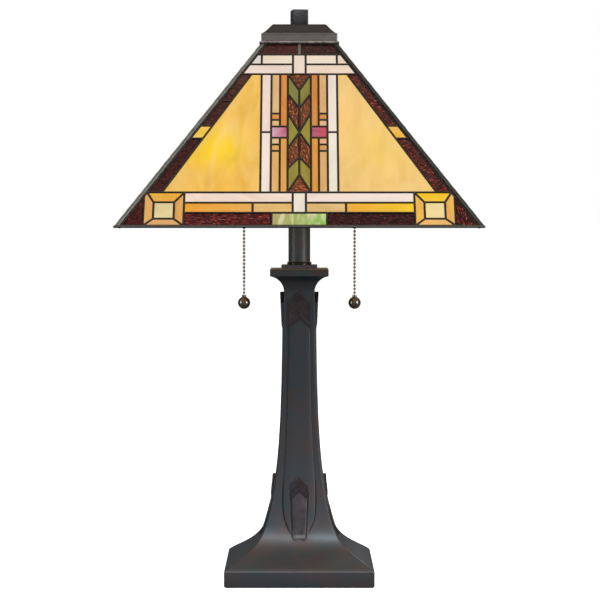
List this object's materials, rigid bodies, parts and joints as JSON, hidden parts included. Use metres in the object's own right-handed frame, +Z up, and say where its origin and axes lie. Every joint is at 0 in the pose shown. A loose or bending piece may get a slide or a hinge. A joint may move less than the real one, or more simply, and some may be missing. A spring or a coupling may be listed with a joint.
{
  "type": "stained glass table lamp",
  "caption": "Table lamp with a square pyramid shade of leaded coloured glass, pull chains and a cast bronze-finish column on a flared plinth.",
  "frame": {"origin": "centre of the underside, on the table", "axes": "+Z up along the column, front face of the lamp towards -Y, +X to its right"},
  "size_m": [0.385, 0.385, 0.6358],
  "materials": {
    "felt": "matt wool felt",
    "cast_bronze": "dark bronze finish on a zinc casting, satin",
    "steel": "plain rolled steel",
    "zinc_steel": "zinc plated",
    "brass": "plain turned brass",
    "socket_brass": "antique brass",
    "bushing": "black rubber",
    "plated_plate": "satin bronze",
    "dark_tube": "dark bronze",
    "tube": "polished dark bronze",
    "phenolic": "moulded phenolic",
    "chain": "dark nickel beads",
    "ball": "dark polished ball",
    "aluminium": "bright rolled thread",
    "bulb_glass": "frosted globe, lit",
    "solder": "solder with a black-brown patina",
    "bright_solder": "bright hammered solder",
    "cap_metal": "brushed grey bronze",
    "finial_metal": "dark bronze",
    "amber_glass": "streaky opalescent sheet glass",
    "gold_glass": "streaky opalescent sheet glass",
    "white_glass": "streaky opalescent sheet glass",
    "cream_glass": "streaky opalescent sheet glass",
    "tan_glass": "streaky opalescent sheet glass",
    "orange_glass": "streaky opalescent sheet glass",
    "rose_glass": "streaky opalescent sheet glass",
    "green_glass": "streaky opalescent sheet glass",
    "brown_glass": "rippled cathedral glass",
    "ruby_glass": "rippled cathedral glass",
    "leaf_glass": "streaky opalescent sheet glass"
  },
  "bodies": {
    "base": {"felt_pad": "felt", "plinth_frame": "cast_bronze", "base_casting": "cast_bronze", "ballast_plate": "steel", "clamp_washer": "zinc_steel", "clamp_nut": "brass", "cord_bushing": "bushing", "capital": "cast_bronze", "small_plate": "plated_plate", "tube_collar": "dark_tube", "riser_tube": "tube", "lower_pipe": "zinc_steel", "upper_pipe": "zinc_steel", "cluster_body": "cast_bronze", "arm_nipple_left": "brass", "arm_nipple_right": "brass", "socket_cap_left": "socket_brass", "socket_cap_right": "socket_brass", "socket_shell_left": "socket_brass", "socket_shell_right": "socket_brass", "socket_core_left": "phenolic", "socket_core_right": "phenolic", "screw_shell_left": "brass", "screw_shell_right": "brass", "pull_guide_left": "socket_brass", "pull_guide_right": "socket_brass", "seat_nut": "brass", "seat_washer": "zinc_steel"},
    "shade": {"came_front": "solder", "came_right": "solder", "came_back": "solder", "came_left": "solder", "corner_came_1": "solder", "corner_came_2": "solder", "corner_came_3": "solder", "corner_came_4": "solder", "rim_rail": "solder", "top_ring": "bright_solder", "shade_cap": "cap_metal", "amber_panes": "amber_glass", "gold_panes": "gold_glass", "white_panes": "white_glass", "cream_panes": "cream_glass", "tan_panes": "tan_glass", "orange_panes": "orange_glass", "rose_panes": "rose_glass", "green_panes": "green_glass", "brown_panes": "brown_glass", "ruby_panes": "ruby_glass", "leaf_panes": "leaf_glass"},
    "finial": {"finial": "finial_metal"},
    "pull_left": {"pull_chain_left": "chain", "pull_ball_left": "ball"},
    "bulb_left": {"bulb_base_left": "aluminium", "bulb_globe_left": "bulb_glass"},
    "pull_right": {"pull_chain_right": "chain", "pull_ball_right": "ball"},
    "bulb_right": {"bulb_base_right": "aluminium", "bulb_globe_right": "bulb_glass"}
  },
  "joints": [
    {"name": "shade_turn", "type": "hinge", "parent": "base", "child": "shade", "pos_m": [0, 0, 0.6153], "axis": [0, 0, 1], "continuous": true},
    {"name": "finial_turn", "type": "hinge", "parent": "base", "child": "finial", "pos_m": [0, 0, 0.6253], "axis": [0, 0, 1], "continuous": true},
    {"name": "pull_left", "type": "slide", "parent": "base", "child": "pull_left", "axis": [0, 0, -1], "range_m": [0, 0.012], "stiffness_N_per_m": 400, "springref_m": -0.002},
    {"name": "pull_right", "type": "slide", "parent": "base", "child": "pull_right", "axis": [0, 0, -1], "range_m": [0, 0.012], "stiffness_N_per_m": 400, "springref_m": -0.002},
    {"name": "bulb_left_turn", "type": "hinge", "parent": "base", "child": "bulb_left", "pos_m": [0, 0, 0.409], "axis": [-0.7071, 0, 0.7071], "continuous": true},
    {"name": "bulb_right_turn", "type": "hinge", "parent": "base", "child": "bulb_right", "pos_m": [0, 0, 0.409], "axis": [0.7071, 0, 0.7071], "continuous": true}
  ]
}
